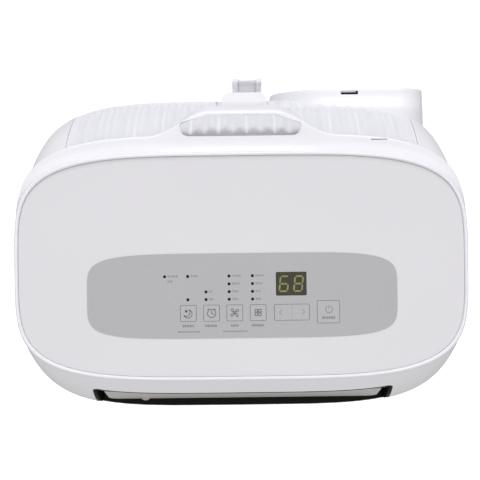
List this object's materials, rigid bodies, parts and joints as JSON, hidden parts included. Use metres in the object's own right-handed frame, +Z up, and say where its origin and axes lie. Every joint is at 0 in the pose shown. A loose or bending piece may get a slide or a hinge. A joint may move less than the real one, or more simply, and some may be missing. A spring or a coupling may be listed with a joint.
{
  "type": "air-conditioning dehumidifier",
  "caption": "Floor-standing portable dehumidifier and cooler with a flat control top, a front air flap, a ribbed rear intake, a carrying handle, a hose socket and casters.",
  "frame": {"origin": "on the floor, under the middle of the whole object's box", "axes": "+X to the right seen from the front, +Y towards the rear, +Z up"},
  "size_m": [0.44, 0.352, 0.7],
  "materials": {
    "cabinet_white": "satin moulded white",
    "panel_grey": "satin light grey",
    "overlay_grey": "printed membrane, grey",
    "display_dark": "smoked window",
    "digit_green": "lit segments",
    "lens_dark": "small dark lenses",
    "key_grey": "membrane key",
    "board_green": "circuit board",
    "outlet_black": "black moulding",
    "flap_white": "satin grey white",
    "tab_clear": "translucent tab",
    "motor_steel": "plated steel",
    "filter_mesh": "fine mesh",
    "hook_grey": "grey moulding",
    "gland_black": "soft black",
    "plug_rubber": "black rubber",
    "base_dark": "black moulding",
    "caster_dark": "black nylon",
    "wheel_rubber": "hard grey rubber",
    "compressor_black": "black enamel",
    "pipe_copper": "copper tube",
    "coil_aluminium": "thin fins",
    "fan_black": "black moulding",
    "duct_white": "natural moulding",
    "screw_steel": "zinc plated"
  },
  "bodies": {
    "cabinet": {"front_cover": "cabinet_white", "rear_cover": "cabinet_white", "carry_handle": "cabinet_white", "control_fascia": "panel_grey", "control_overlay": "overlay_grey", "display_window": "display_dark", "display_digits": "digit_green", "indicator_lenses": "lens_dark", "display_board": "board_green", "outlet_frame": "outlet_black", "flap_motor": "motor_steel", "exhaust_housing": "cabinet_white", "hook_block": "cabinet_white", "cord_hook": "hook_grey", "cord_gland": "gland_black", "lower_grille": "cabinet_white", "base_pan": "base_dark", "compressor": "compressor_black", "compressor_feet": "plug_rubber", "accumulator": "compressor_black", "refrigerant_pipes": "pipe_copper", "condenser": "coil_aluminium", "condenser_fan_housing": "duct_white", "condenser_fan_motor": "motor_steel", "exhaust_duct": "duct_white", "drain_pan": "duct_white", "evaporator": "coil_aluminium", "evaporator_fan_housing": "duct_white", "evaporator_fan_motor": "motor_steel", "control_box": "duct_white", "cover_screws": "screw_steel"},
    "sleep_key": {"sleep_key": "key_grey"},
    "timer_key": {"timer_key": "key_grey"},
    "fan_key": {"fan_key": "key_grey"},
    "mode_key": {"mode_key": "key_grey"},
    "down_key": {"down_key": "key_grey"},
    "up_key": {"up_key": "key_grey"},
    "power_key": {"power_key": "key_grey"},
    "flap": {"outlet_flap": "flap_white", "flap_tab": "tab_clear"},
    "vane_1": {"vane_1": "outlet_black"},
    "vane_2": {"vane_2": "outlet_black"},
    "vane_3": {"vane_3": "outlet_black"},
    "vane_4": {"vane_4": "outlet_black"},
    "vane_5": {"vane_5": "outlet_black"},
    "vane_6": {"vane_6": "outlet_black"},
    "vane_link": {"vane_link": "outlet_black"},
    "intake_cover": {"intake_cover": "cabinet_white", "air_filter": "filter_mesh"},
    "drain_plug": {"drain_plug": "plug_rubber"},
    "evaporator_fan": {"evaporator_fan": "fan_black"},
    "condenser_fan": {"condenser_fan": "fan_black"},
    "caster_front_left": {"caster_front_left": "caster_dark"},
    "wheel_front_left": {"wheel_front_left": "wheel_rubber"},
    "caster_front_right": {"caster_front_right": "caster_dark"},
    "wheel_front_right": {"wheel_front_right": "wheel_rubber"},
    "caster_rear_left": {"caster_rear_left": "caster_dark"},
    "wheel_rear_left": {"wheel_rear_left": "wheel_rubber"},
    "caster_rear_right": {"caster_rear_right": "caster_dark"},
    "wheel_rear_right": {"wheel_rear_right": "wheel_rubber"}
  },
  "joints": [
    {"name": "sleep_key_press", "type": "slide", "parent": "cabinet", "child": "sleep_key", "axis": [0, 0, -1], "range_m": [0, 0.0006], "stiffness_N_per_m": 900},
    {"name": "timer_key_press", "type": "slide", "parent": "cabinet", "child": "timer_key", "axis": [0, 0, -1], "range_m": [0, 0.0006], "stiffness_N_per_m": 900},
    {"name": "fan_key_press", "type": "slide", "parent": "cabinet", "child": "fan_key", "axis": [0, 0, -1], "range_m": [0, 0.0006], "stiffness_N_per_m": 900},
    {"name": "mode_key_press", "type": "slide", "parent": "cabinet", "child": "mode_key", "axis": [0, 0, -1], "range_m": [0, 0.0006], "stiffness_N_per_m": 900},
    {"name": "down_key_press", "type": "slide", "parent": "cabinet", "child": "down_key", "axis": [0, 0, -1], "range_m": [0, 0.0006], "stiffness_N_per_m": 900},
    {"name": "up_key_press", "type": "slide", "parent": "cabinet", "child": "up_key", "axis": [0, 0, -1], "range_m": [0, 0.0006], "stiffness_N_per_m": 900},
    {"name": "power_key_press", "type": "slide", "parent": "cabinet", "child": "power_key", "axis": [0, 0, -1], "range_m": [0, 0.0006], "stiffness_N_per_m": 900},
    {"name": "flap_hinge", "type": "hinge", "parent": "cabinet", "child": "flap", "pos_m": [0, -0.1545, 0.621], "axis": [1, 0, 0], "range_deg": [0, 50]},
    {"name": "vane_1_turn", "type": "hinge", "parent": "cabinet", "child": "vane_1", "pos_m": [-0.12, -0.12, 0.6365], "axis": [0, 0, 1], "range_deg": [-30, 30]},
    {"name": "vane_2_turn", "type": "hinge", "parent": "cabinet", "child": "vane_2", "pos_m": [-0.072, -0.12, 0.6365], "axis": [0, 0, 1], "range_deg": [-30, 30]},
    {"name": "vane_3_turn", "type": "hinge", "parent": "cabinet", "child": "vane_3", "pos_m": [-0.024, -0.12, 0.6365], "axis": [0, 0, 1], "range_deg": [-30, 30]},
    {"name": "vane_4_turn", "type": "hinge", "parent": "cabinet", "child": "vane_4", "pos_m": [0.024, -0.12, 0.6365], "axis": [0, 0, 1], "range_deg": [-30, 30]},
    {"name": "vane_5_turn", "type": "hinge", "parent": "cabinet", "child": "vane_5", "pos_m": [0.072, -0.12, 0.6365], "axis": [0, 0, 1], "range_deg": [-30, 30]},
    {"name": "vane_6_turn", "type": "hinge", "parent": "cabinet", "child": "vane_6", "pos_m": [0.12, -0.12, 0.6365], "axis": [0, 0, 1], "range_deg": [-30, 30]},
    {"name": "vane_link_slide", "type": "slide", "parent": "cabinet", "child": "vane_link", "axis": [1, 0, 0], "range_m": [-0.0073, 0.0073]},
    {"name": "intake_cover_release", "type": "slide", "parent": "cabinet", "child": "intake_cover", "axis": [0, 1, 0], "range_m": [0, 0.09]},
    {"name": "drain_plug_pull", "type": "slide", "parent": "cabinet", "child": "drain_plug", "axis": [0, 1, 0], "range_m": [0, 0.03]},
    {"name": "evaporator_fan_spin", "type": "hinge", "parent": "cabinet", "child": "evaporator_fan", "pos_m": [0, -0.046, 0.58], "axis": [1, 0, 0], "continuous": true},
    {"name": "condenser_fan_spin", "type": "hinge", "parent": "cabinet", "child": "condenser_fan", "pos_m": [0.07, 0.045, 0.205], "axis": [0, 1, 0], "continuous": true},
    {"name": "caster_front_left_swivel", "type": "hinge", "parent": "cabinet", "child": "caster_front_left", "pos_m": [-0.158, -0.11975, 0.04], "axis": [0, 0, 1], "continuous": true},
    {"name": "wheel_front_left_roll", "type": "hinge", "parent": "caster_front_left", "child": "wheel_front_left", "pos_m": [-0.158, -0.10875, 0.016], "axis": [1, 0, 0], "continuous": true},
    {"name": "caster_front_right_swivel", "type": "hinge", "parent": "cabinet", "child": "caster_front_right", "pos_m": [0.158, -0.11975, 0.04], "axis": [0, 0, 1], "continuous": true},
    {"name": "wheel_front_right_roll", "type": "hinge", "parent": "caster_front_right", "child": "wheel_front_right", "pos_m": [0.158, -0.10875, 0.016], "axis": [1, 0, 0], "continuous": true},
    {"name": "caster_rear_left_swivel", "type": "hinge", "parent": "cabinet", "child": "caster_rear_left", "pos_m": [-0.158, 0.08825, 0.04], "axis": [0, 0, 1], "continuous": true},
    {"name": "wheel_rear_left_roll", "type": "hinge", "parent": "caster_rear_left", "child": "wheel_rear_left", "pos_m": [-0.158, 0.09925, 0.016], "axis": [1, 0, 0], "continuous": true},
    {"name": "caster_rear_right_swivel", "type": "hinge", "parent": "cabinet", "child": "caster_rear_right", "pos_m": [0.158, 0.08825, 0.04], "axis": [0, 0, 1], "continuous": true},
    {"name": "wheel_rear_right_roll", "type": "hinge", "parent": "caster_rear_right", "child": "wheel_rear_right", "pos_m": [0.158, 0.09925, 0.016], "axis": [1, 0, 0], "continuous": true}
  ],
  "couplings": [
    {"joint": "vane_1_turn", "follows": "vane_link_slide", "rad_per_m": -71.429},
    {"joint": "vane_2_turn", "follows": "vane_link_slide", "rad_per_m": -71.429},
    {"joint": "vane_3_turn", "follows": "vane_link_slide", "rad_per_m": -71.429},
    {"joint": "vane_4_turn", "follows": "vane_link_slide", "rad_per_m": -71.429},
    {"joint": "vane_5_turn", "follows": "vane_link_slide", "rad_per_m": -71.429},
    {"joint": "vane_6_turn", "follows": "vane_link_slide", "rad_per_m": -71.429}
  ]
}
